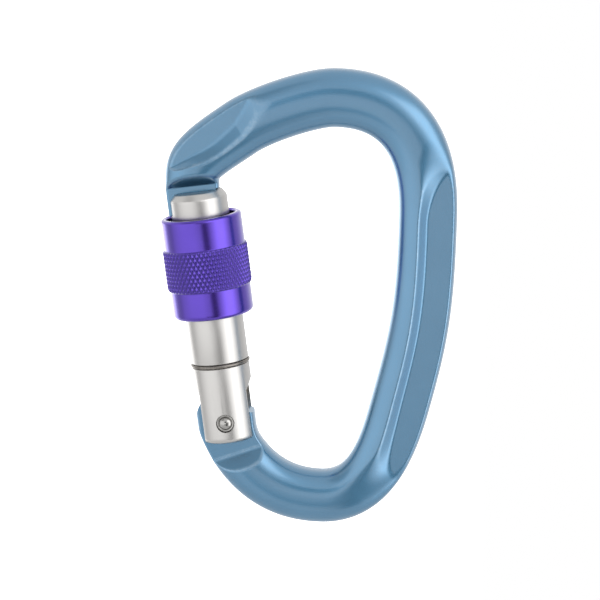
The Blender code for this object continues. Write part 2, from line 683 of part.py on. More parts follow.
def build_spring(parts, pivot):
    """A coil with one closed turn at each end, between the plunger's shoulder and the bore's end."""
    closed_pitch = CLOSED_PITCH * SPRING_WIRE
    low = PLUNGER_SHOULDER + SEAT_GAP + SPRING_WIRE / 2
    climb = SPRING_LENGTH - SPRING_WIRE
    open_pitch = (climb - 2 * closed_pitch) / (SPRING_TURNS - 2)
    points = []
    for i in range(SPRING_TURNS * COIL_STEPS + 1):
        turns = i / COIL_STEPS
        closed_turns = min(turns, 1.0) + max(turns - SPRING_TURNS + 1, 0.0)
        height = low + closed_pitch * closed_turns + open_pitch * (turns - closed_turns)
        angle = math.tau * turns
        points.append((COIL_RADIUS * math.cos(angle), COIL_RADIUS * math.sin(angle), height))
    steel = metal("spring_steel", (0.42, 0.41, 0.40), 0.30)
    spring = add_wire("gate_spring", points, SPRING_WIRE, parts, pivot, steel)
    spring.location.x = PLUNGER_OFFSET


def build():
    clear_scene()
    parts = new_collection("locking_carabiner")
    cutters = new_collection("cutters")
    pivot = add_object("gate_pivot", None, parts)
    pivot.location = HINGE
    pivot.rotation_euler.y = GATE_TILT
    build_frame(parts, cutters, pivot)
    build_gate(parts, cutters, pivot)
    build_sleeve(parts, pivot)
    build_rivet(parts, pivot)
    build_stop_ring(parts, pivot)
    build_plunger(parts, pivot)
    build_spring(parts, pivot)


build()
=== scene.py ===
import math
from contextlib import contextmanager

import bmesh
import bpy
import numpy as np
from mathutils import Matrix, Vector


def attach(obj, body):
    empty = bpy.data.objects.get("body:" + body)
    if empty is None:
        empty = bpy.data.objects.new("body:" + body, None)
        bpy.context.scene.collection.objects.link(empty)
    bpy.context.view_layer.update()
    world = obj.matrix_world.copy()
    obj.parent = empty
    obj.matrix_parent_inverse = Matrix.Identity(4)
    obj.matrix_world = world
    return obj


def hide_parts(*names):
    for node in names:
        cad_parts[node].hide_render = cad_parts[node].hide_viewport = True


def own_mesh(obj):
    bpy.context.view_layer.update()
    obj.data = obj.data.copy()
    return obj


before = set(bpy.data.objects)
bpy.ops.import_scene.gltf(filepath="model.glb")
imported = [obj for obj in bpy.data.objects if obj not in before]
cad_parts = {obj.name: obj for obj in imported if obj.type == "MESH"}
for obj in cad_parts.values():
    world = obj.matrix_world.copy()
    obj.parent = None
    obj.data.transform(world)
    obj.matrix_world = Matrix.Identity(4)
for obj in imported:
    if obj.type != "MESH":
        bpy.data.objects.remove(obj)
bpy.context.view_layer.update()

MM = 0.001
NO_LIMIT = 99.0  # further out than any metal

# Everything below is in millimetres until it becomes a mesh. The frame's bar follows the CAD's
# centreline.
EYE_LENGTH = 77.3
EYE_REACH = 45.1
BAR_THICKNESS = 10.4
BAR_SQUARENESS = 2.6
BOW_WIDTH = 12.95
SPINE_FOOT_WIDTH = 13.35
BASE_WIDTH = 11.85
HEEL_WIDTH = 12.1
SPINE_PANEL_WEB = 6.2
ARM_PANEL_WEB = 7.4
NOSE_THICKNESS = 4.4
NECK_NOTCH = 0.7
NECK_SHOWN = 1.45
NECK_SLOPE = math.radians(53.0)
TANG_RADIUS = 6.2
TANG_OUTER = 0.7
TANG_THICKNESS = 5.7
TANG_SHOULDER = 8.05
TANG_SHOULDER_TURN = math.radians(12.5)
RAMP_SLOPE = math.radians(36.0)
PLUNGER_SEAT = 2.45  # the plunger's step on the tang, up from the hinge
SEAT_SLOPE = math.radians(20.0)
SEAT_WALL = 0.0  # where the step begins, in from the gate's axis
GATE_RADIUS = 6.4
GATE_ABOVE_NOSE = 2.15
GATE_TIP_ROUND = 0.9
GATE_FOOT_ROUND = 1.2
GATE_FOOT = 4.7
LIP_HEIGHT = 1.7
NOSE_OUTER = 6.9
TOE_REACH = 5.0
SEAT_GAP = 0.3
NOSE_GAP = 0.25
FORK_GAP = 0.2
FORK_ROOF = 6.8
FORK_FLAT = 5.25  # the fork's flats, out from the gate's axis
FORK_FLAT_TOP = 6.3
INNER_RUNOUT = 2.4
OUTER_RUNOUT = 4.2
RIVET_HOLE = 1.68
RIVET_HEAD_SEAT = 5.2
RIVET_RECESS = 2.05
BORE_RADIUS = 2.0
BORE_OFFSET = 2.2
BORE_END = 29.38
SPRING_WIRE = 0.55
SPRING_RADIUS = 1.475
SPRING_TURNS = 9
SPRING_FOOT = 11.58
SPRING_LENGTH = 17.5
SPRING_CLOSED_PITCH = 1.1 * SPRING_WIRE  # of the turn at each end
RING_HEIGHT = 12.9
RING_WIRE = 0.75
RING_PROUD = 0.25
RING_RADIUS = GATE_RADIUS + RING_PROUD - RING_WIRE / 2
RING_GAP = math.radians(24.0)
SLEEVE_DROP = 5.4  # the sleeve's rim, down from the gate's top
SLEEVE_RADIUS = 8.99
SLEEVE_ROUND = 0.7
SLEEVE_FOOT_ROUND = 1.0
SLEEVE_MOUTH = 7.74
SLEEVE_MOUTH_DEPTH = 7.6
SLEEVE_BORE = 7.0
SLEEVE_LENGTH = 22.5
SLEEVE_TOP_BAND = 6.9
KNURL_BAND = 9.2
KNURL_RISE = 0.45
KNURL_COUNT = 56
KNURL_DEPTH = 0.36
KNURL_SLANT = math.radians(30)
SCREW_RADIUS = 6.7
SCREW_LENGTH = 9.0
SCREW_START = 1.1
THREAD_LEAD = 3.0
THREAD_STARTS = 2
THREAD_FADE = 0.8  # length over which the thread dies out at its ends

# The panels' floors and rims: start, lead, arch, end, trail, corner and depth, in the form the CAD has
# them. Starts, leads, ends and trails are in stations, which count the anchors along the bar.
ARM_FLOOR = (1.325, 0.45, 1.75, 2.27, 0.5, 1.75, 5.75)
ARM_RIM = (1.285, 0.57, 1.8, 2.41, 0.56, 1.8, 8.7)
SPINE_FLOOR = (3.797, 0.235, 1.75, 5.487, 0.86, 3.5, 6.6)
SPINE_RIM = (3.68, 0.38, 2.0, 5.68, 1.07, 3.5, 8.45)

# The camera stands where the photograph's did. Angles are in degrees, and the span is the picture's
# width at the target.
CAMERA_AZIMUTH = 4.0
CAMERA_ELEVATION = 11.0
CAMERA_DISTANCE = 600.0
CAMERA_SPAN = 133.03
CAMERA_TARGET = (-7.45, 0.0, -38.67)
FLOOR_HALF = 450.0
FLOOR_DROP = 500.0

# The light tent round the object is as white as the background. Its patches are soft lights and dim
# gaps, each with its azimuth, elevation, half sizes, soft borders and level. Angles are counted as the
# camera's are.
TENT_LEVEL = 1.0
TENT_PATCHES = (
    (-150.0, -15.0, (24.0, 12.0), (12.0, 8.0), 2.26),
    (-99.0, -12.0, (5.0, 14.0), (14.0, 10.0), 0.68),
    (112.0, 2.0, (8.0, 14.0), (16.0, 14.0), 0.81),
    (-46.0, 40.0, (14.0, 12.0), (14.0, 12.0), 0.58),
    (-34.0, 0.0, (18.0, 16.0), (40.0, 7.0), 1.48),
    (-2.0, 8.0, (8.0, 5.0), (5.0, 5.0), 0.19),
    (-2.0, -20.0, (8.0, 2.5), (5.0, 5.0), 0.32),
    (15.0, -18.0, (4.0, 14.0), (10.0, 8.0), 0.13),
    (58.0, 3.0, (6.0, 28.0), (27.0, 16.0), 2.5),
    (35.0, 22.0, (9.0, 8.0), (14.0, 10.0), 2.58),
)

HINGE = np.array([-0.5244 * EYE_REACH, -0.8495 * EYE_LENGTH])
NOSE = np.array([-0.663 * EYE_REACH, -0.2135 * EYE_LENGTH])
GATE_UP = (NOSE - HINGE) / np.linalg.norm(NOSE - HINGE)
GATE_IN = np.array([GATE_UP[1], -GATE_UP[0]])
GATE_TILT = math.atan2(GATE_UP[0], GATE_UP[1])
GATE_HEADING = 90.0 - math.degrees(GATE_TILT)
NOSE_HEIGHT = float(np.linalg.norm(NOSE - HINGE))
GATE_TOP = NOSE_HEIGHT + GATE_ABOVE_NOSE
SLEEVE_RIM = GATE_TOP - SLEEVE_DROP
SLEEVE_FOOT = SLEEVE_RIM - SLEEVE_LENGTH
SCREW_FOOT = SLEEVE_FOOT + SCREW_START
SCREW_TOP = SCREW_FOOT + SCREW_LENGTH
# The nose ends just outside the circle that the sleeve's rim sweeps about the hinge.
NOSE_END = math.hypot(SLEEVE_RADIUS - SLEEVE_ROUND, SLEEVE_RIM - SLEEVE_ROUND) + SLEEVE_ROUND + SEAT_GAP
GATE_FRAME = (
    Matrix.Translation((HINGE[0] * MM, 0.0, HINGE[1] * MM)) @ Matrix.Rotation(GATE_TILT, 4, "Y")
)


# Meshes

def new_object(name, mesh, body, material, replaces=()):
    """A visual piece that rides a body and stands for CAD nodes."""
    obj = bpy.data.objects.new(name, mesh)
    bpy.context.scene.collection.objects.link(obj)
    mesh.materials.append(material)
    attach(obj, body)
    if replaces:
        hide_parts(*replaces)
    return obj


def quad_mesh(name, points, faces):
    """A smooth mesh from arrays of points, in millimetres, and of corner indices."""
    mesh = bpy.data.meshes.new(name)
    mesh.from_pydata((points * MM).tolist(), [], faces.tolist())
    mesh.validate()
    mesh.shade_smooth()
    return mesh


def grid_faces(rows, columns, closed_rows=False):
    """Quads of a grid whose columns close round, and whose rows may too."""
    index = np.arange(rows * columns).reshape(rows, columns)
    low = index if closed_rows else index[:-1]
    high = np.roll(index, -1, axis=0) if closed_rows else index[1:]
    right_low = np.roll(low, -1, axis=1)
    right_high = np.roll(high, -1, axis=1)
    return np.stack([low, right_low, right_high, high], axis=-1).reshape(-1, 4)


@contextmanager
def edited(mesh):
    """The mesh as a BMesh, which goes back into it at the end."""
    bm = bmesh.new()
    bm.from_mesh(mesh)
    yield bm
    bm.to_mesh(mesh)
    bm.free()


def eased(share):
    """A share from 0 to 1, with a soft start and end."""
    return share**2 * (3 - 2 * share)


def smooth_min(a, b, soft):
    """The lower of two levels with a soft meeting, and how much of the meeting each point is in."""
    h = np.clip(0.5 + 0.5 * (b - a) / soft, 0.0, 1.0)
    return b * (1 - h) + a * h - soft * h * (1 - h), 4 * h * (1 - h)


def smooth_max(a, b, soft):
    value, _ = smooth_min(-a, -b, soft)
    return -value


# The frame's bar

def bar_anchors():
    """x, z, heading, reach in, reach out and width of each anchor on the bar's centreline."""
    neck_width = NOSE_OUTER + TOE_REACH
    neck = NOSE + GATE_IN * (TOE_REACH - NOSE_OUTER) / 2
    nose_end = neck - GATE_UP * (NOSE_HEIGHT - NOSE_END + 3.0)
    tang_end = HINGE + GATE_UP * (TANG_RADIUS + 1.5)
    reach, length = EYE_REACH, EYE_LENGTH
    return np.array([
        (*nose_end, GATE_HEADING, 0.0, 0.33, neck_width),
        (*neck, GATE_HEADING, 0.33, 0.457, neck_width),
        (-0.4548 * reach, -0.0047 * length, 34.3, 0.67, 0.25, BOW_WIDTH),
        (0.0, BOW_WIDTH / 2, 0.0, 0.223, 0.432, BOW_WIDTH),
        (0.4596 * reach, -0.2445 * length, -91.1, 0.4935, 0.472, BOW_WIDTH),
        (0.3312 * reach, -0.7972 * length, -105.0, 0.373, 0.339, SPINE_FOOT_WIDTH),
        (-0.055 * reach, -length - BASE_WIDTH / 2, 180.0, 0.407, 0.442, BASE_WIDTH),
        (-0.46 * reach, -0.9572 * length, 126.6, 0.302, 0.465, HEEL_WIDTH),
        (*HINGE, GATE_HEADING, 0.215, 0.33, 2 * TANG_RADIUS),
        (*tang_end, GATE_HEADING, 0.33, 0.0, 2 * TANG_RADIUS),
    ])


def bar_at(anchors, stations):
    """Centreline points, outward directions and half widths at the stations."""
    index = np.clip(stations.astype(int), 0, len(anchors) - 2)
    share = (stations - index)[:, None]
    rest = 1.0 - share
    first, last = anchors[index], anchors[index + 1]
    start, end = first[:, :2], last[:, :2]
    chord = np.linalg.norm(end - start, axis=1, keepdims=True)

    def heading(rows):
        angle = np.radians(rows[:, 2])
        return np.stack([np.cos(angle), np.sin(angle)], axis=1)

    leave = start + heading(first) * chord * first[:, 4:5]
    arrive = end - heading(last) * chord * last[:, 3:4]
    point = start * rest**3 + 3 * leave * rest**2 * share + 3 * arrive * rest * share**2 + end * share**3
    along = (leave - start) * rest**2 + 2 * (arrive - leave) * rest * share + (end - arrive) * share**2
    along /= np.linalg.norm(along, axis=1, keepdims=True)
    outward = np.stack([-along[:, 1], along[:, 0]], axis=1)
    ease = eased(share[:, 0])
    half_width = (first[:, 5] * (1 - ease) + last[:, 5] * ease) / 2
    return point, outward, half_width


def bar_stations(anchors, spacing):
    """Stations from the nose's end to the tang's, closer together at the neck and the panels' ends."""
    fine = np.linspace(0.0, len(anchors) - 1.0, 12000)
    point, _, _ = bar_at(anchors, fine)
    up = (point - HINGE) @ GATE_UP
    density = np.ones(len(fine))
    neck = (fine < 1.6) & (np.abs(up - GATE_TOP - NECK_SHOWN - 1.2) < 2.4)
    density[neck] = 3.0
    panel_ends = (1.25, 2.3, 3.78, 5.49)
    for tip in panel_ends:
        density = np.maximum(density, 1.0 + 1.5 * np.exp(-(((fine - tip) / 0.07) ** 2)))
    step = np.linalg.norm(np.diff(point, axis=0), axis=1) * (density[1:] + density[:-1]) / 2
    travel = np.concatenate([[0.0], np.cumsum(step)])
    low = np.interp(NOSE_END - 0.6, up[:200], travel[:200])
    high = np.interp(TANG_RADIUS, up[-1200:], travel[-1200:])
    count = int((high - low) / spacing)
    return np.interp(np.linspace(low, high, count), travel, fine)


def bar_section(sides):
    """Unit section, evenly spaced along its outline: shares of the half width and half thickness."""
    angle = np.linspace(0.0, math.tau, 20001)
    across = np.sign(np.cos(angle)) * np.abs(np.cos(angle)) ** (2 / BAR_SQUARENESS)
    through = np.sign(np.sin(angle)) * np.abs(np.sin(angle)) ** (2 / BAR_SQUARENESS)
    outline = np.hypot(np.diff(across) * BOW_WIDTH / 2, np.diff(through) * BAR_THICKNESS / 2)
    travel = np.concatenate([[0.0], np.cumsum(outline)])
    even = np.linspace(0.0, travel[-1], sides, endpoint=False)
    return np.interp(even, travel, across), np.interp(even, travel, through)


def panel_limit(station, depth, floor, rim, web):
    """How far out of the middle plane a panel leaves metal, at points given by station and depth.

    The wall climbs from the floor's outline, at a lift of 0, to the rim's, at 1, and on beyond both.
    """
    floor_level = web / 2
    rise = BAR_THICKNESS / 2 - floor_level
    limit = np.full(station.shape, NO_LIMIT)
    near = (station > rim[0] - 0.4) & (station < rim[3] + 0.3)
    spot, deep = station[near], np.maximum(depth[near], 0.0)
    lifts = np.linspace(-0.8, 2.6, 69)
    found = np.full(spot.shape, NO_LIMIT)
    before = None
    for lift in lifts:
        outline = (a + (b - a) * lift for a, b in zip(floor, rim))
        start, lead, arch, end, trail, corner, full = outline
        lead_share = np.maximum((start + lead - spot) / lead, 0.0)
        trail_share = np.maximum((spot - end + trail) / trail, 0.0)
        inset = deep / max(full, 0.3)
        power = np.where(lead_share > 0, arch, corner)
        outside = np.maximum(lead_share, trail_share) ** power + inset**power - 1.0
        hit = (outside <= 0) & (found == NO_LIMIT)
        if before is None:
            found[hit] = lift
        else:
            share = np.clip(before / np.maximum(before - outside, 1e-9), 0.0, 1.0)
            found[hit] = (lift - (lifts[1] - lifts[0]) * (1 - share))[hit]
        before = outside
    limit[near] = smooth_max(np.full(found.shape, floor_level), floor_level + rise * found, 0.3)
    return limit


def build_frame(material):
    """The forged bar with its panels, thin neck and tang, as one dense surface with soft edges."""
    anchors = bar_anchors()
    stations = bar_stations(anchors, 0.2)
    across, through = bar_section(208)
    point, outward, half_width = bar_at(anchors, stations)
    offset = half_width[:, None] * across[None, :]
    fuller = np.clip((stations - 7.2) / 0.6, 0.0, 1.0)
    offset += TANG_OUTER * eased(fuller)[:, None] * np.maximum(across, 0.0)
    level = np.broadcast_to(BAR_THICKNESS / 2 * through, offset.shape)
    flat = point[:, None, :] + outward[:, None, :] * offset[:, :, None]
    station = np.broadcast_to(stations[:, None], offset.shape)

    height = np.abs(level)
    # edge holds how much the colour is paled along the panels' rims, the neck and the tang: partly rubbed
    # wear on these convex edges, partly painted highlight lines.
    edge = np.zeros_like(height)
    depth = half_width[:, None] - offset
    arm = panel_limit(station, depth, ARM_FLOOR, ARM_RIM, ARM_PANEL_WEB)
    spine = panel_limit(station, depth, SPINE_FLOOR, SPINE_RIM, SPINE_PANEL_WEB)
    # The walls' top edges are crisp along the panels and melt into the bar at their ends.
    arm_soft = 0.45 + 0.5 * np.clip((station - 2.2) / 0.2, 0.0, 1.0)
    spine_start = np.clip((3.88 - station) / 0.16, 0.0, 1.0)
    spine_end = np.clip((station - 5.32) / 0.4, 0.0, 1.0)
    spine_soft = 0.4 + 1.5 * spine_start + 3.0 * eased(spine_end)
    for limit, soft in ((arm, arm_soft), (spine, spine_soft)):
        height, blend = smooth_min(height, limit, soft)
        edge = np.maximum(edge, blend * np.minimum(0.45 / soft, 1.0) ** 2)

    local = flat - HINGE
    up = local @ GATE_UP
    inward = local @ GATE_IN

    face = NOSE_THICKNESS / 2
    ramp = face + (up - GATE_TOP - NECK_SHOWN) * math.tan(NECK_SLOPE)
    neck = smooth_max(np.full(ramp.shape, face), ramp, 0.25)
    neck[station > 2.5] = NO_LIMIT
    height, blend = smooth_min(height, neck, 1.1)
    edge = np.maximum(edge, blend * 0.3)

    turn = math.radians(GATE_HEADING) + TANG_SHOULDER_TURN
    run = -TANG_SHOULDER - local @ np.array([math.cos(turn), math.sin(turn)])
    face = TANG_THICKNESS / 2
    tang = smooth_max(np.full(run.shape, face), face + run * math.tan(RAMP_SLOPE), 0.4)
    tang[station < 6.2] = NO_LIMIT
    height, blend = smooth_min(height, tang, 0.4)
    # A pale line is painted along the foot of the tang's ramp, a concave corner where no wear falls: a
    # painted highlight.
    foot_highlight = np.clip(1.0 - np.abs(run + 0.25) / 0.55, 0.0, 1.0) * (tang < height + 0.02)
    edge = np.maximum(edge, np.maximum(blend, foot_highlight))

    # The nose ends on an arc about the hinge, with a step over its toe. The tang is round about the hinge.
    nose = station < 1.0
    arc_end = np.sqrt(np.maximum(NOSE_END**2 - inward**2, 0.0))
    up = np.where(nose, np.maximum(up, arc_end), up)
    lip_under = GATE_TOP - LIP_HEIGHT
    notch = (station < 1.6) & (up > lip_under - SEAT_GAP) & (up < GATE_TOP + SEAT_GAP)
    inward = np.where(notch, np.minimum(inward, TOE_REACH - NECK_NOTCH), inward)
    radius = np.hypot(up, inward)
    full_radius = TANG_RADIUS + TANG_OUTER * np.clip(-inward / 4.0, 0.0, 1.0)
    round_end = (station > 7.5) & (up > 0.67) & (radius > full_radius)
    shrink = np.where(round_end, full_radius / np.maximum(radius, 1e-6), 1.0)
    up, inward = up * shrink, inward * shrink

    def placed(up, inward, height):
        spot = HINGE + up[..., None] * GATE_UP + inward[..., None] * GATE_IN
        return np.stack([spot[..., 0], height, spot[..., 1]], axis=-1)

    side = np.sign(level)
    rings = placed(up, inward, side * height)
    rows, columns = offset.shape
    points = [rings.reshape(-1, 3)]
    faces = [grid_faces(rows, columns)]
    weights = [edge.reshape(-1)]
    # Each end is closed by rings that shrink to its middle, laid on the end's own round surface.
    count = rows * columns
    for row, bend in ((0, NOSE_END), (rows - 1, TANG_RADIUS)):
        mid_in = inward[row].mean()
        outer = np.arange(columns) + row * columns
        for share in (0.85, 0.65, 0.45, 0.25, 0.08):
            cap_in = mid_in + (inward[row] - mid_in) * share
            cap_up = np.sqrt(bend**2 - cap_in**2)
            points.append(placed(cap_up, cap_in, (side * height)[row] * share))
            weights.append(np.zeros(columns))
            inner = np.arange(columns) + count
            ring = np.stack([outer, np.roll(outer, -1), np.roll(inner, -1), inner], axis=-1)
            faces.append(ring)
            outer = inner
            count += columns
    points = np.concatenate(points)
    mesh = quad_mesh("frame_body", points, np.concatenate(faces))
    # The material pales the colour by these weights: rubbed wear plus painted highlight lines.
    attribute = mesh.attributes.new("edge", "FLOAT", "POINT")
    attribute.data.foreach_set("value", np.concatenate(weights).astype(np.float32))
    finish_frame(mesh)
    return new_object("frame_body", mesh, "frame", material, ["frame"])


def finish_frame(mesh):
    """Closes the ends' middles, steps the tang for the plunger and opens the rivet's hole through it."""
    with edited(mesh) as bm:
        close_loops(bm)
        back = GATE_FRAME.inverted()
        beyond_tang = 9.0
        for vert in bm.verts:
            spot = back @ vert.co / MM
            seat = PLUNGER_SEAT - (spot.x - BORE_OFFSET) * math.tan(SEAT_SLOPE)
            if SEAT_WALL < spot.x < beyond_tang and seat < spot.z < beyond_tang:
                spot.z = seat
                vert.co = GATE_FRAME @ (spot * MM)
        inside = []
        for bm_face in bm.faces:
            spot = back @ bm_face.calc_center_median() / MM
            if math.hypot(spot.x, spot.z) < RIVET_HOLE and abs(spot.y) > 1.0:
                inside.append(bm_face)
        bmesh.ops.delete(bm, geom=inside, context="FACES")
        rim = [edge for edge in bm.edges if edge.is_boundary]
        for vert in {vert for edge in rim for vert in edge.verts}:
            spot = back @ vert.co / MM
            reach = math.hypot(spot.x, spot.z)
            spot.x *= RIVET_HOLE / reach
            spot.z *= RIVET_HOLE / reach
            vert.co = GATE_FRAME @ (spot * MM)
        bmesh.ops.bridge_loops(bm, edges=rim)
        bmesh.ops.dissolve_degenerate(bm, edges=bm.edges[:], dist=0.0005 * MM)
        bmesh.ops.recalc_face_normals(bm, faces=bm.faces[:])
        for bm_face in bm.faces:
            bm_face.smooth = True


def close_loops(bm):
    """Fills each closed loop of boundary edges with a face."""
    ahead = {}
    for edge in bm.edges:
        if edge.is_boundary:
            loop = edge.link_loops[0]
            ahead[loop.link_loop_next.vert] = loop.vert
    loops = []
    while ahead:
        start, vert = ahead.popitem()
        chain = [start]
        while vert is not start:
            chain.append(vert)
            vert = ahead.pop(vert)
        loops.append(chain)
    for loop in loops:
        bm.faces.new(loop)


# Turned pieces, in the gate's own frame

def turned_mesh(name, profile, steps, closed=False):
    """A mesh turned about Z from (radius, height) points, in millimetres."""
    profile = np.array(profile, float)
    angle = np.arange(steps) * math.tau / steps
    ring = np.stack([np.cos(angle), np.sin(angle)], axis=1)
    points = np.concatenate([
        np.column_stack([ring * radius, np.full(steps, height)]) for radius, height in profile
    ])
    faces = grid_faces(len(profile), steps, closed)
    mesh = quad_mesh(name, points, faces)
    with edited(mesh) as bm:
        bmesh.ops.remove_doubles(bm, verts=bm.verts[:], dist=0.001 * MM)
        bmesh.ops.recalc_face_normals(bm, faces=bm.faces[:])
    return mesh


def arc(centre, radii, start, end, steps):
    """Points of an elliptical arc between two angles in degrees."""
    angle = np.radians(np.linspace(start, end, steps + 1))
    return list(zip(centre[0] + radii[0] * np.cos(angle), centre[1] + radii[1] * np.sin(angle)))


def prism(outline, low, high):
    """A closed mesh of an outline in X and Z, run along Y."""
    bm = bmesh.new()
    front = [bm.verts.new((x * MM, low * MM, z * MM)) for x, z in outline]
    back = [bm.verts.new((x * MM, high * MM, z * MM)) for x, z in outline]
    for i, vert in enumerate(front):
        after = (i + 1) % len(front)
        bm.faces.new((vert, front[after], back[after], back[i]))
    bm.faces.new(front)
    bm.faces.new(back)
    return bm


def rod(radius, low, high, along, offset=0.0, steps=48):
    """A closed cylinder along Y or Z."""
    bm = bmesh.new()
    turn = Matrix.Rotation(math.radians(-90), 4, "X") if along == "Y" else Matrix()
    middle = Vector((offset, 0.0, 0.0)) + turn.to_3x3() @ Vector((0.0, 0.0, (low + high) / 2))
    bmesh.ops.create_cone(
        bm,
        cap_ends=True,
        segments=steps,
        radius1=radius * MM,
        radius2=radius * MM,
        depth=(high - low) * MM,
        matrix=Matrix.Translation(middle * MM) @ turn,
    )
    return bm


def subtract(mesh, cutters):
    """The mesh less each cutter, as a new mesh."""
    holder = bpy.data.objects.new("holder", mesh)
    bpy.context.scene.collection.objects.link(holder)
    helpers = []
    for i, bm in enumerate(cutters):
        bmesh.ops.recalc_face_normals(bm, faces=bm.faces[:])
        data = bpy.data.meshes.new("cutter")
        bm.to_mesh(data)
        bm.free()
        helper = bpy.data.objects.new("cutter", data)
        bpy.context.scene.collection.objects.link(helper)
        helpers.append(helper)
        boolean = holder.modifiers.new(f"cut{i}", "BOOLEAN")
        boolean.operation = "DIFFERENCE"
        boolean.solver = "EXACT"
        boolean.object = helper
    bevel = holder.modifiers.new("soft edges", "BEVEL")
    bevel.width = 0.14 * MM
    bevel.segments = 2
    bevel.limit_method = "ANGLE"
    bevel.angle_limit = math.radians(32)
    bpy.context.view_layer.update()
    graph = bpy.context.evaluated_depsgraph_get()
    result = bpy.data.meshes.new_from_object(holder.evaluated_get(graph))
    for obj in [holder, *helpers]:
        bpy.data.objects.remove(obj, do_unlink=True)
    return result


def sharp_by_angle(mesh, degrees):
    """Smooth faces, with sharp edges where two faces meet at the angle or more."""
    with edited(mesh) as bm:
        for bm_face in bm.faces:
            bm_face.smooth = True
        for edge in bm.edges:
            edge.smooth = len(edge.link_faces) != 2 or edge.calc_face_angle(0.0) < math.radians(degrees)


def build_gate(material):
    """The round gate with its tip slot, fork, flats, ring groove and drilled holes."""
    groove = RING_WIRE / 2 + 0.1
    groove_floor = RING_RADIUS - RING_WIRE / 2 - 0.1
    screw_root = GATE_RADIUS - 0.15
    tip_radii = (GATE_TIP_ROUND, GATE_TIP_ROUND)
    foot_radii = (GATE_FOOT_ROUND, GATE_FOOT_ROUND)
    profile = [(0.0, GATE_TOP), (2.2, GATE_TOP), (4.0, GATE_TOP)]
    profile += arc((GATE_RADIUS - 1.45, GATE_TOP - GATE_TIP_ROUND), tip_radii, 90, 35, 7)
    profile += arc((GATE_RADIUS - GATE_TIP_ROUND, GATE_TOP - 1.75), tip_radii, 35, 0, 6)
    profile += [
        (GATE_RADIUS, GATE_TOP - 2.0),
        (GATE_RADIUS, SCREW_TOP + 0.1),
        (screw_root, SCREW_TOP - 0.05),
        (screw_root, SCREW_FOOT + 0.05),
        (GATE_RADIUS, SCREW_FOOT - 0.1),
        (GATE_RADIUS, RING_HEIGHT + groove + 0.12),
        (GATE_RADIUS - 0.1, RING_HEIGHT + groove),
        (groove_floor, RING_HEIGHT + groove),
        (groove_floor, RING_HEIGHT - groove),
        (GATE_RADIUS - 0.1, RING_HEIGHT - groove),
        (GATE_RADIUS, RING_HEIGHT - groove - 0.12),
        (GATE_RADIUS, GATE_FOOT_ROUND + 0.15 - GATE_FOOT),
    ]
    profile += arc((GATE_RADIUS - GATE_FOOT_ROUND, GATE_FOOT_ROUND - GATE_FOOT), foot_radii, 0, -90, 6)
    profile += [(3.0, -GATE_FOOT), (0.0, -GATE_FOOT)]
    mesh = turned_mesh("gate_body", profile, 120)

    wide = GATE_RADIUS + 6.0
    lip_under = GATE_TOP - LIP_HEIGHT
    pocket = math.sqrt(NOSE_END**2 - NOSE_OUTER**2) - NOSE_GAP
    tip = [
        (-wide, pocket),
        (TOE_REACH + SEAT_GAP, pocket),
        (TOE_REACH + SEAT_GAP, lip_under),
        (TOE_REACH - NECK_NOTCH + SEAT_GAP, lip_under),
        (TOE_REACH - NECK_NOTCH + SEAT_GAP, GATE_TOP + 6),
        (-wide, GATE_TOP + 6),
    ]
    tip_half = NOSE_THICKNESS / 2 + NOSE_GAP
    fork_half = TANG_THICKNESS / 2 + FORK_GAP
    slot = [(-wide, -wide), (wide, -wide), (wide, FORK_ROOF), (-wide, FORK_ROOF)]
    cutters = [prism(tip, -tip_half, tip_half), prism(slot, -fork_half, fork_half)]
    for side, runout in ((1, INNER_RUNOUT), (-1, OUTER_RUNOUT)):
        reach = FORK_FLAT_TOP + runout * (wide - FORK_FLAT) / (GATE_RADIUS - FORK_FLAT)
        outline = [(FORK_FLAT, -wide), (wide, -wide), (wide, reach), (FORK_FLAT, FORK_FLAT_TOP)]
        cutters.append(prism([(side * x, z) for x, z in outline], -wide, wide))
    cutters.append(rod(BORE_RADIUS, FORK_ROOF - 3.0, BORE_END, "Z", BORE_OFFSET))
    cutters.append(rod(RIVET_HOLE, -wide, wide, "Y"))
    floor = RIVET_HEAD_SEAT - 0.08
    cutters.append(rod(RIVET_RECESS, floor, floor + 6.0, "Y"))
    cutters.append(rod(RIVET_RECESS, -floor - 6.0, -floor, "Y"))
    mesh = subtract(mesh, cutters)
    mesh.name = "gate_body"
    sharp_by_angle(mesh, 20)
    mesh.transform(GATE_FRAME)
    return new_object("gate_body", mesh, "gate", material, ["gate"])


def thread_ridge(turn, height):
    """From 0 in the thread's root to 1 on its crest, at a turn and a height."""
    pitch = THREAD_LEAD / THREAD_STARTS
    phase = (height - THREAD_LEAD * turn) / pitch
    wave = np.abs((phase % 1.0) - 0.5) * 2
    return np.clip((wave - 0.28) / 0.36, 0.0, 1.0)


def build_thread(material):
    """The gate's screw, as a closed band with two helical ridges."""
    steps, rows = 144, 96
    height = np.linspace(SCREW_FOOT, SCREW_TOP, rows)
    turn = np.arange(steps) / steps
    ridge = thread_ridge(turn[None, :], height[:, None])
    fade = np.clip(np.minimum(height - SCREW_FOOT, SCREW_TOP - height) / THREAD_FADE, 0.0, 1.0)[:, None]
    root = GATE_RADIUS - 0.05
    radius = root + (SCREW_RADIUS + 0.12 - root) * ridge * fade
    inner = [np.full(steps, GATE_RADIUS - 0.6)]
    radius = np.concatenate([inner, radius, inner])
    height = np.concatenate([[SCREW_FOOT], height, [SCREW_TOP]])
    angle = turn * math.tau
    points = np.stack([
        radius * np.cos(angle), radius * np.sin(angle), np.broadcast_to(height[:, None], radius.shape)
    ], axis=-1).reshape(-1, 3)
    mesh = quad_mesh("gate_thread", points, grid_faces(rows + 2, steps, True))
    mesh.transform(GATE_FRAME)
    return new_object("gate_thread", mesh, "gate", material)


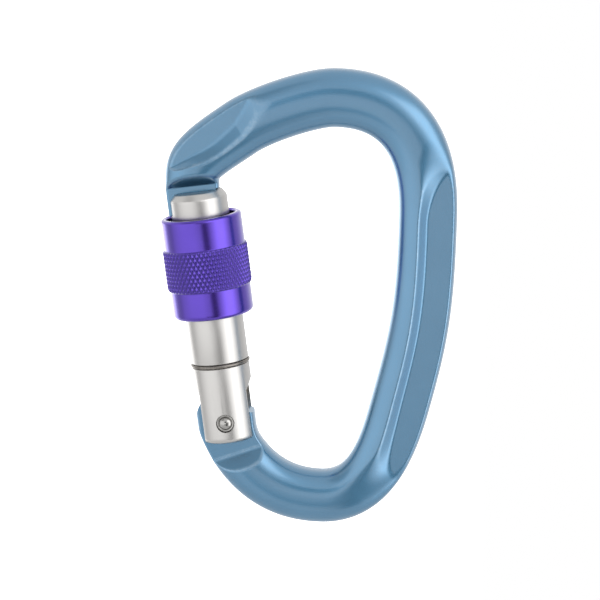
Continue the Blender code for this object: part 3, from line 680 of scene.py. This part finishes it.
def build_sleeve(material):
    """The knurled sleeve: diamond knurling cut into its middle, and the thread in its bore."""
    steps = KNURL_COUNT * 10
    knurl_top = SLEEVE_RIM - SLEEVE_TOP_BAND
    knurl_foot = knurl_top - KNURL_BAND
    knurl_radius = SLEEVE_RADIUS + KNURL_RISE
    mouth_floor = SLEEVE_RIM - SLEEVE_MOUTH_DEPTH
    rim_radii = (SLEEVE_ROUND, SLEEVE_ROUND)
    foot_radii = (SLEEVE_FOOT_ROUND, SLEEVE_FOOT_ROUND)
    step_radii = (0.12, 0.12)
    profile = [(SLEEVE_MOUTH + 0.2, SLEEVE_RIM)]
    profile += arc((SLEEVE_RADIUS - SLEEVE_ROUND, SLEEVE_RIM - SLEEVE_ROUND), rim_radii, 90, 0, 7)
    profile += [(SLEEVE_RADIUS, SLEEVE_RIM - 1.1), (SLEEVE_RADIUS, SLEEVE_RIM - 3.5)]
    profile += [(SLEEVE_RADIUS, knurl_top + 0.25)]
    profile += arc((SLEEVE_RADIUS + 0.12, knurl_top + 0.12), step_radii, 180, 270, 3)
    first = len(profile)
    rise, step = 0.4, 0.14
    for height in np.linspace(knurl_top - 0.02, knurl_foot + 0.02, 82):
        ramp = min(knurl_top - height, height - knurl_foot, rise) / rise
        profile.append((SLEEVE_RADIUS + step + (KNURL_RISE - step) * ramp, height))
    last = len(profile)
    profile += arc((SLEEVE_RADIUS + 0.12, knurl_foot - 0.12), step_radii, 90, 180, 3)
    profile += [(SLEEVE_RADIUS, knurl_foot - 0.25), (SLEEVE_RADIUS, SLEEVE_FOOT + 3.0)]
    profile += [(SLEEVE_RADIUS, SLEEVE_FOOT + 1.4)]
    foot_centre = (SLEEVE_RADIUS - SLEEVE_FOOT_ROUND, SLEEVE_FOOT + SLEEVE_FOOT_ROUND)
    profile += arc(foot_centre, foot_radii, 0, -90, 8)
    profile += [(SLEEVE_BORE + 0.3, SLEEVE_FOOT), (SLEEVE_BORE, SLEEVE_FOOT + 0.3)]
    bore = len(profile)
    bore_top = mouth_floor - (SLEEVE_MOUTH - SLEEVE_BORE)
    bore_heights = np.linspace(SLEEVE_FOOT + 0.4, bore_top - 0.1, 100)
    profile += [(SLEEVE_BORE, height) for height in bore_heights]
    bore_end = len(profile)
    profile += [(SLEEVE_BORE, bore_top), (SLEEVE_MOUTH, mouth_floor), (SLEEVE_MOUTH, mouth_floor + 0.3)]
    profile += [(SLEEVE_MOUTH, SLEEVE_RIM - 0.6), (SLEEVE_MOUTH, SLEEVE_RIM - 0.2)]
    profile = np.array(profile)

    turn = np.arange(steps) / steps
    radius = np.repeat(profile[:, :1], steps, axis=1)
    height = np.repeat(profile[:, 1:], steps, axis=1)
    pitch = math.tau * knurl_radius / KNURL_COUNT
    rows = slice(first, last)
    slant = (height[rows] - knurl_top) * math.tan(KNURL_SLANT) / pitch
    left = turn[None, :] * KNURL_COUNT + slant
    right = turn[None, :] * KNURL_COUNT - slant
    ridge = np.minimum(np.abs(left - np.round(left)), np.abs(right - np.round(right))) * 2
    ends = np.clip(np.minimum(knurl_top - height[rows], height[rows] - knurl_foot) / 0.5, 0.0, 1.0)
    radius[rows] -= KNURL_DEPTH * np.clip(1 - ridge * 1.35, 0.0, 1.0) * ends

    rows = slice(bore, bore_end)
    ridge = thread_ridge(turn[None, :] + 0.25, height[rows])
    from_end = np.minimum(height[rows] - SLEEVE_FOOT - 0.4, bore_top - height[rows])
    radius[rows] -= 0.42 * ridge * np.clip(from_end / THREAD_FADE, 0.0, 1.0)

    angle = turn[None, :] * math.tau
    points = np.stack([radius * np.cos(angle), radius * np.sin(angle), height], axis=-1).reshape(-1, 3)
    mesh = quad_mesh("sleeve_body", points, grid_faces(len(profile), steps, True)[:, ::-1])
    knurl = np.zeros(radius.shape, np.float32)
    knurl[first:last] = np.clip((knurl_radius - radius[first:last]) / KNURL_DEPTH, 0.0, 1.0)
    attribute = mesh.attributes.new("groove", "FLOAT", "POINT")
    attribute.data.foreach_set("value", knurl.reshape(-1))
    mesh.transform(GATE_FRAME)
    return new_object("sleeve_body", mesh, "sleeve", material, ["locking_sleeve"])


def build_rivet(material):
    """The hinge rivet, with a flat rim round a polished dome at each end."""
    rim = RIVET_HEAD_SEAT + 0.72
    dome_foot, dome_radius, dome_height = rim - 0.10, 1.42, 0.8
    half = [(0.0, dome_foot + dome_height)]
    half += arc((0.0, dome_foot), (dome_radius, dome_height), 83, 6, 11)
    half += [(1.46, dome_foot), (1.52, rim - 0.03), (1.80, rim), (1.88, rim - 0.03), (1.95, rim - 0.14)]
    half += [(1.95, RIVET_HEAD_SEAT), (1.6, RIVET_HEAD_SEAT)]
    profile = half + [(radius, -height) for radius, height in reversed(half)]
    mesh = turned_mesh("rivet_body", profile, 64)
    sharp_by_angle(mesh, 50)
    mesh.transform(GATE_FRAME @ Matrix.Rotation(math.radians(90), 4, "X"))
    return new_object("rivet_body", mesh, "gate", material, ["hinge_rivet"])


def wire_mesh(name, radius, angle, height, wire):
    """Round wire wound at a radius through arrays of angles and heights, with rounded ends."""
    around = 20
    travel = (angle - angle[0]) * radius
    ends = np.minimum(travel, travel[-1] - travel) / (wire / 2)
    thick = wire / 2 * np.sqrt(np.clip(1 - (1 - np.clip(ends, 0.05, 1.0)) ** 2, 0.0, 1.0))
    spin = np.arange(around) * math.tau / around
    out = radius + thick[:, None] * np.cos(spin)
    points = np.stack([
        out * np.cos(angle)[:, None],
        out * np.sin(angle)[:, None],
        height[:, None] + thick[:, None] * np.sin(spin),
    ], axis=-1).reshape(-1, 3)
    mesh = quad_mesh(name, points, grid_faces(len(angle), around))
    with edited(mesh) as bm:
        close_loops(bm)
        bmesh.ops.recalc_face_normals(bm, faces=bm.faces[:])
    return mesh


def build_ring(material):
    """The stop ring: round wire with a gap at the back."""
    angle = math.radians(90) + RING_GAP / 2 + np.linspace(0.0, math.tau - RING_GAP, 180)
    mesh = wire_mesh("stop_wire", RING_RADIUS, angle, np.full_like(angle, RING_HEIGHT), RING_WIRE)
    mesh.transform(GATE_FRAME)
    return new_object("stop_wire", mesh, "ring", material, ["stop_ring"])


def build_coil(material):
    """The gate's spring, with a closed turn at each end."""
    turns = np.linspace(0.0, SPRING_TURNS, SPRING_TURNS * 40 + 1)
    closed = np.minimum(turns, 1.0) + np.maximum(turns - SPRING_TURNS + 1, 0.0)
    open_pitch = (SPRING_LENGTH - SPRING_WIRE - 2 * SPRING_CLOSED_PITCH) / (SPRING_TURNS - 2)
    climb = SPRING_CLOSED_PITCH * closed + open_pitch * (turns - closed)
    height = SPRING_FOOT + SPRING_WIRE / 2 + climb
    mesh = wire_mesh("spring_coil", SPRING_RADIUS, math.tau * turns, height, SPRING_WIRE)
    bore = GATE_FRAME @ Matrix.Translation((BORE_OFFSET * MM, 0.0, 0.0))
    mesh.transform(bore)
    coil = new_object("spring_coil", mesh, "gate", material, ["gate_spring"])
    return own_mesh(coil)


# Materials

class Nodes:
    """A material's node tree, with short ways to add and link nodes."""

    def __init__(self, name):
        self.material = bpy.data.materials.new(name)
        self.material.use_nodes = True
        self.tree = self.material.node_tree
        self.shader = self.tree.nodes["Principled BSDF"]
        coordinates = self.tree.nodes.new("ShaderNodeTexCoord")
        scale = self.tree.nodes.new("ShaderNodeVectorMath")
        scale.operation = "SCALE"
        scale.inputs["Scale"].default_value = 1000.0
        self.link(coordinates.outputs["Object"], scale.inputs[0])
        self.place = scale.outputs[0]

    def link(self, output, socket):
        self.tree.links.new(output, socket)

    def set(self, **values):
        for name, value in values.items():
            self.shader.inputs[name.replace("_", " ")].default_value = value

    def stretched(self, rotation, scale):
        node = self.tree.nodes.new("ShaderNodeMapping")
        node.inputs["Rotation"].default_value = rotation
        node.inputs["Scale"].default_value = scale
        self.link(self.place, node.inputs["Vector"])
        return node.outputs["Vector"]

    def noise(self, scale, detail=3.0, rough=0.55, place=None):
        node = self.tree.nodes.new("ShaderNodeTexNoise")
        node.inputs["Scale"].default_value = scale
        node.inputs["Detail"].default_value = detail
        node.inputs["Roughness"].default_value = rough
        self.link(place or self.place, node.inputs["Vector"])
        return node.outputs["Fac"]

    def attribute(self, name):
        node = self.tree.nodes.new("ShaderNodeAttribute")
        node.attribute_name = name
        return node.outputs["Fac"]

    def span(self, value, low, high, start=0.0, end=1.0):
        node = self.tree.nodes.new("ShaderNodeMapRange")
        for socket, number in zip(("From Min", "From Max", "To Min", "To Max"), (start, end, low, high)):
            node.inputs[socket].default_value = number
        self.link(value, node.inputs["Value"])
        return node.outputs["Result"]

    def math(self, operation, first, second):
        node = self.tree.nodes.new("ShaderNodeMath")
        node.operation = operation
        for socket, value in zip(node.inputs, (first, second)):
            if isinstance(value, (int, float)):
                socket.default_value = value
            else:
                self.link(value, socket)
        return node.outputs[0]

    def mix(self, factor, first, second):
        node = self.tree.nodes.new("ShaderNodeMix")
        node.data_type = "RGBA"
        self.link(factor, node.inputs["Factor"])
        for socket, value in ((node.inputs[6], first), (node.inputs[7], second)):
            if isinstance(value, tuple):
                socket.default_value = (*value, 1.0)
            else:
                self.link(value, socket)
        return node.outputs[2]

    def bump(self, height, strength, distance):
        node = self.tree.nodes.new("ShaderNodeBump")
        node.inputs["Strength"].default_value = strength
        node.inputs["Distance"].default_value = distance * MM
        self.link(height, node.inputs["Height"])
        self.link(node.outputs["Normal"], self.shader.inputs["Normal"])

    def colour(self, value):
        self.link(value, self.shader.inputs["Base Color"])

    def roughness(self, value):
        self.link(value, self.shader.inputs["Roughness"])


def frame_material():
    """Light blue anodising on a tumbled forging: a fine satin grain, cloudy depth, and paler edges that
    are partly rubbed wear and partly painted highlight lines.
    """
    n = Nodes("frame_anodised_look")
    cloud = n.span(n.noise(0.09, 3.0), 0.0, 1.0, 0.35, 0.65)
    grain = n.noise(7.0, 3.0, 0.6)
    base = n.mix(cloud, (0.0655, 0.212, 0.362), (0.0725, 0.225, 0.379))
    speck = n.span(grain, 0.0, 0.4, 0.45, 0.75)
    base = n.mix(speck, base, (0.106, 0.253, 0.400))
    # Paler colour on the edge weights: rubbed wear on convex edges plus painted highlight lines, the
    # ramp's foot line wholly painted highlight.
    wear_and_highlight = n.math("MULTIPLY", n.attribute("edge"), n.span(n.noise(0.9, 2.0), 0.15, 0.5, 0.4, 0.7))
    n.colour(n.mix(wear_and_highlight, base, (0.270, 0.388, 0.500)))
    n.roughness(n.span(grain, 0.33, 0.43, 0.3, 0.7))
    n.set(Metallic=1.0, Coat_Weight=1.0, Coat_Roughness=0.18, Coat_IOR=1.776)
    n.bump(grain, 0.25, 0.03)
    return n.material


def sleeve_material():
    """Bright purple anodising over turned metal, with painted shade darkening the knurl's grooves."""
    n = Nodes("sleeve_anodised_look")
    lines = n.noise(1.0, 2.0, 0.5, n.stretched((0.0, GATE_TILT, 0.0), (0.35, 0.35, 16.0)))
    cloud = n.span(n.noise(0.15, 2.0), 0.0, 1.0, 0.35, 0.65)
    base = n.mix(cloud, (0.080, 0.0325, 0.412), (0.088, 0.0365, 0.443))
    groove = n.attribute("groove")
    # Painted shade: the colour darkens with the depth of the knurl's grooves.
    n.colour(n.mix(groove, base, (0.030, 0.0107, 0.197)))
    n.roughness(n.math("ADD", n.span(lines, 0.19, 0.25, 0.3, 0.7), n.math("MULTIPLY", groove, 0.12)))
    n.set(Metallic=1.0, Coat_Weight=1.0, Coat_Roughness=0.18, Coat_IOR=1.45)
    n.bump(lines, 0.06, 0.02)
    return n.material


def gate_material():
    """Bare aluminium, turned and tumbled to a soft satin, with faint turning lines and handling marks."""
    n = Nodes("gate_bare_look")
    lines = n.noise(1.0, 3.0, 0.6, n.stretched((0.0, GATE_TILT, 0.0), (0.3, 0.3, 12.0)))
    grain = n.noise(6.0, 3.0)
    cloud = n.span(n.noise(0.12, 2.0), 0.0, 1.0, 0.35, 0.65)
    base = n.mix(cloud, (0.515, 0.505, 0.493), (0.533, 0.524, 0.5115))
    marks = n.span(n.noise(0.8, 4.0, 0.7), 0.0, 0.22, 0.62, 0.75)
    n.colour(n.mix(marks, base, (0.471, 0.462, 0.4495)))
    n.roughness(n.math("ADD", n.span(lines, 0.27, 0.34, 0.3, 0.7), n.span(grain, 0.0, 0.06, 0.3, 0.7)))
    n.set(Metallic=1.0)
    n.bump(n.math("ADD", lines, n.math("MULTIPLY", grain, 0.5)), 0.05, 0.02)
    return n.material


def steel_material(name, light, dark, rough, scale):
    """Steel with fine drawn lines and slight staining."""
    n = Nodes(name)
    lines = n.noise(scale, 3.0, 0.6)
    stain = n.span(n.noise(0.7, 3.0), 0.0, 1.0, 0.35, 0.7)
    n.colour(n.mix(stain, light, dark))
    n.roughness(n.span(lines, rough * 0.75, rough * 1.35, 0.3, 0.7))
    n.set(Metallic=1.0)
    n.bump(lines, 0.05, 0.02)
    return n.material


def brass_material():
    """Turned brass, slightly browned."""
    n = Nodes("plunger_brass_look")
    lines = n.noise(1.0, 3.0, 0.6, n.stretched((0.0, GATE_TILT, 0.0), (0.4, 0.4, 14.0)))
    stain = n.span(n.noise(0.9, 3.0), 0.0, 1.0, 0.35, 0.7)
    n.colour(n.mix(stain, (0.41, 0.285, 0.112), (0.31, 0.198, 0.068)))
    n.roughness(n.span(lines, 0.22, 0.36, 0.3, 0.7))
    n.set(Metallic=1.0)
    n.bump(lines, 0.06, 0.02)
    return n.material


# The stage

def build_camera():
    """At the photograph's angle and distance."""
    data = bpy.data.cameras.new("camera")
    camera = bpy.data.objects.new("camera", data)
    bpy.context.scene.collection.objects.link(camera)
    turn, lift = math.radians(CAMERA_AZIMUTH), math.radians(CAMERA_ELEVATION)
    away = Vector((math.sin(turn) * math.cos(lift), -math.cos(turn) * math.cos(lift), math.sin(lift)))
    camera.location = Vector(CAMERA_TARGET) * MM + away * CAMERA_DISTANCE * MM
    camera.rotation_euler = away.to_track_quat("Z", "Y").to_euler()
    data.sensor_width = 36.0
    data.lens = data.sensor_width * CAMERA_DISTANCE / CAMERA_SPAN
    data.clip_start = 0.05
    data.clip_end = 50.0
    bpy.context.scene.camera = camera


def build_world():
    """White to the camera. To the object, a white tent with soft lights and dim gaps in it."""
    world = bpy.data.worlds.new("studio")
    bpy.context.scene.world = world
    world.use_nodes = True
    tree = world.node_tree
    background = tree.nodes["Background"]

    def added(kind, operation=None, *values):
        node = tree.nodes.new(kind)
        if operation:
            node.operation = operation
        for socket, value in zip(node.inputs, values):
            if isinstance(value, (int, float)):
                socket.default_value = value
            elif value is not None:
                tree.links.new(value, socket)
        return node

    def near(angle, middle, half, border):
        """1 within half of the middle angle, fading to 0 over the border, in degrees."""
        off = added("ShaderNodeMath", "SUBTRACT", angle, math.radians(middle)).outputs[0]
        away = added("ShaderNodeMath", "ABSOLUTE", off).outputs[0]
        inner, outer = math.radians(half), math.radians(half + border)
        step = added("ShaderNodeMapRange", None, away, inner, outer, 1.0, 0.0)
        step.interpolation_type = "SMOOTHSTEP"
        return step.outputs["Result"]

    coordinates = added("ShaderNodeTexCoord")
    split = added("ShaderNodeSeparateXYZ", None, coordinates.outputs["Generated"])
    ahead = added("ShaderNodeMath", "MULTIPLY", split.outputs["Y"], -1.0).outputs[0]
    turn = added("ShaderNodeMath", "ARCTAN2", split.outputs["X"], ahead).outputs[0]
    lift = added("ShaderNodeMath", "ARCSINE", split.outputs["Z"]).outputs[0]
    level = TENT_LEVEL
    for azimuth, elevation, half, border, patch in TENT_PATCHES:
        across = near(turn, azimuth, half[0], border[0])
        upward = near(lift, elevation, half[1], border[1])
        inside = added("ShaderNodeMath", "MULTIPLY", across, upward).outputs[0]
        level = added("ShaderNodeMix", None, inside, None, level, patch).outputs["Result"]
    path = added("ShaderNodeLightPath")
    strongest = added("ShaderNodeMath", "MAXIMUM", path.outputs["Is Camera Ray"], level)
    tree.links.new(strongest.outputs[0], background.inputs["Strength"])
    background.inputs["Color"].default_value = (1.0, 1.0, 1.0, 1.0)


def build_floor():
    """A pale floor well below the object, clear from underneath so that it hides no light there."""
    mesh = bpy.data.meshes.new("floor")
    half, level = FLOOR_HALF * MM, -FLOOR_DROP * MM
    corners = [(-half, -half, level), (half, -half, level), (half, half, level), (-half, half, level)]
    mesh.from_pydata(corners, [], [(0, 1, 2, 3)])
    material = bpy.data.materials.new("floor_pale")
    material.use_nodes = True
    tree = material.node_tree
    shader = tree.nodes["Principled BSDF"]
    shader.inputs["Base Color"].default_value = (0.8, 0.8, 0.8, 1.0)
    shader.inputs["Roughness"].default_value = 0.9
    clear = tree.nodes.new("ShaderNodeBsdfTransparent")
    geometry = tree.nodes.new("ShaderNodeNewGeometry")
    under = tree.nodes.new("ShaderNodeMixShader")
    tree.links.new(geometry.outputs["Backfacing"], under.inputs[0])
    tree.links.new(shader.outputs[0], under.inputs[1])
    tree.links.new(clear.outputs[0], under.inputs[2])
    tree.links.new(under.outputs[0], tree.nodes["Material Output"].inputs["Surface"])
    mesh.materials.append(material)
    floor = bpy.data.objects.new("floor", mesh)
    bpy.context.scene.collection.objects.link(floor)


def main():
    bpy.context.scene.view_settings.view_transform = "Standard"
    build_camera()
    build_world()
    build_floor()
    build_frame(frame_material())
    silver = gate_material()
    build_gate(silver)
    build_thread(silver)
    build_sleeve(sleeve_material())
    build_rivet(steel_material("rivet_steel_look", (0.41, 0.403, 0.390), (0.322, 0.316, 0.304), 0.10, 8.0))
    build_ring(steel_material("ring_steel_look", (0.26, 0.242, 0.223), (0.161, 0.146, 0.133), 0.26, 9.0))
    build_coil(steel_material("spring_steel_look", (0.34, 0.335, 0.33), (0.25, 0.242, 0.236), 0.28, 10.0))
    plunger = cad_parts["spring_plunger"].data
    plunger.materials.clear()
    plunger.materials.append(brass_material())


main()
